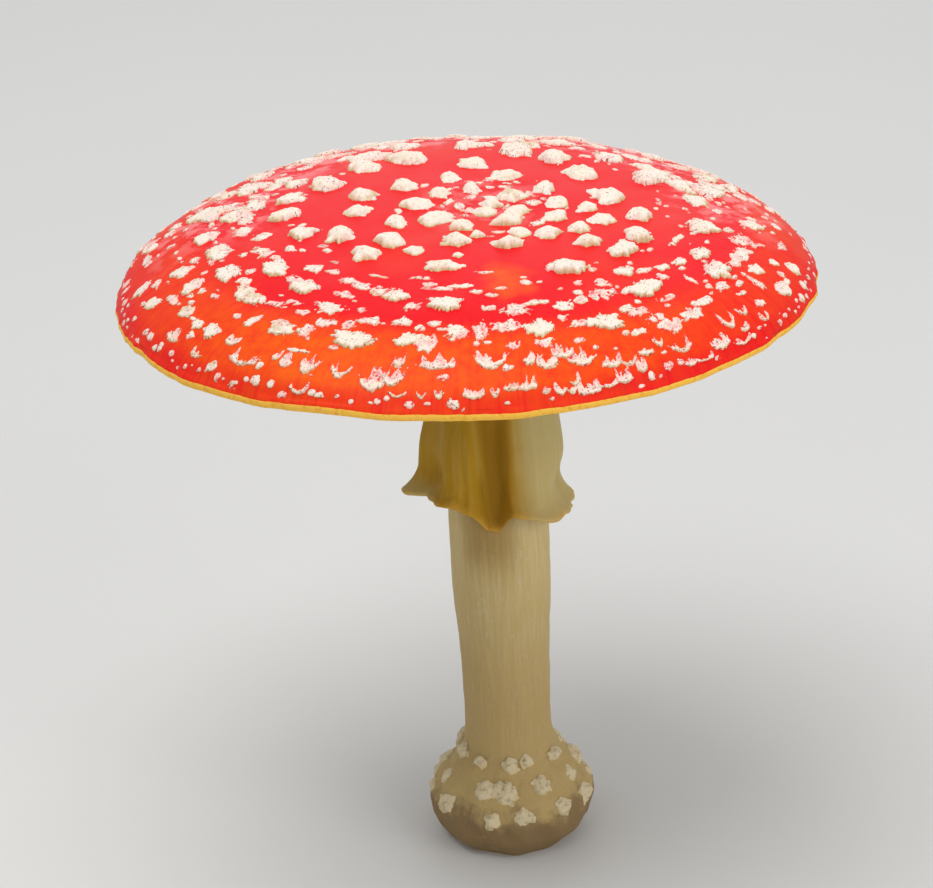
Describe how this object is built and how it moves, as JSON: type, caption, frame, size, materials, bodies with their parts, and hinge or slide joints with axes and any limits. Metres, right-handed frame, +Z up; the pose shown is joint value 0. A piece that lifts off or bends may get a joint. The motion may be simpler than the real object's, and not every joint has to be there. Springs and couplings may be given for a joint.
{
  "type": "fly agaric mushroom",
  "caption": "Whole fly agaric mushroom: low red cap dotted with pale warts, gills beneath, a slim pale stem with a hanging pleated ring, and a scaly bulb with a flat cut foot.",
  "frame": {"origin": "middle of the flat cut foot, on the stem's axis", "axes": "+Z up the stem, -Y towards the side that is seen first, +X to the right of it"},
  "size_m": [0.1396, 0.1415, 0.1449],
  "materials": {
    "cap_skin": "satin",
    "gill_flesh": "matte",
    "stem_flesh": "matte",
    "ring_veil": "matte"
  },
  "bodies": {
    "root": {"cap": "cap_skin", "gills": "gill_flesh", "stem": "stem_flesh", "ring": "ring_veil"}
  },
  "joints": []
}
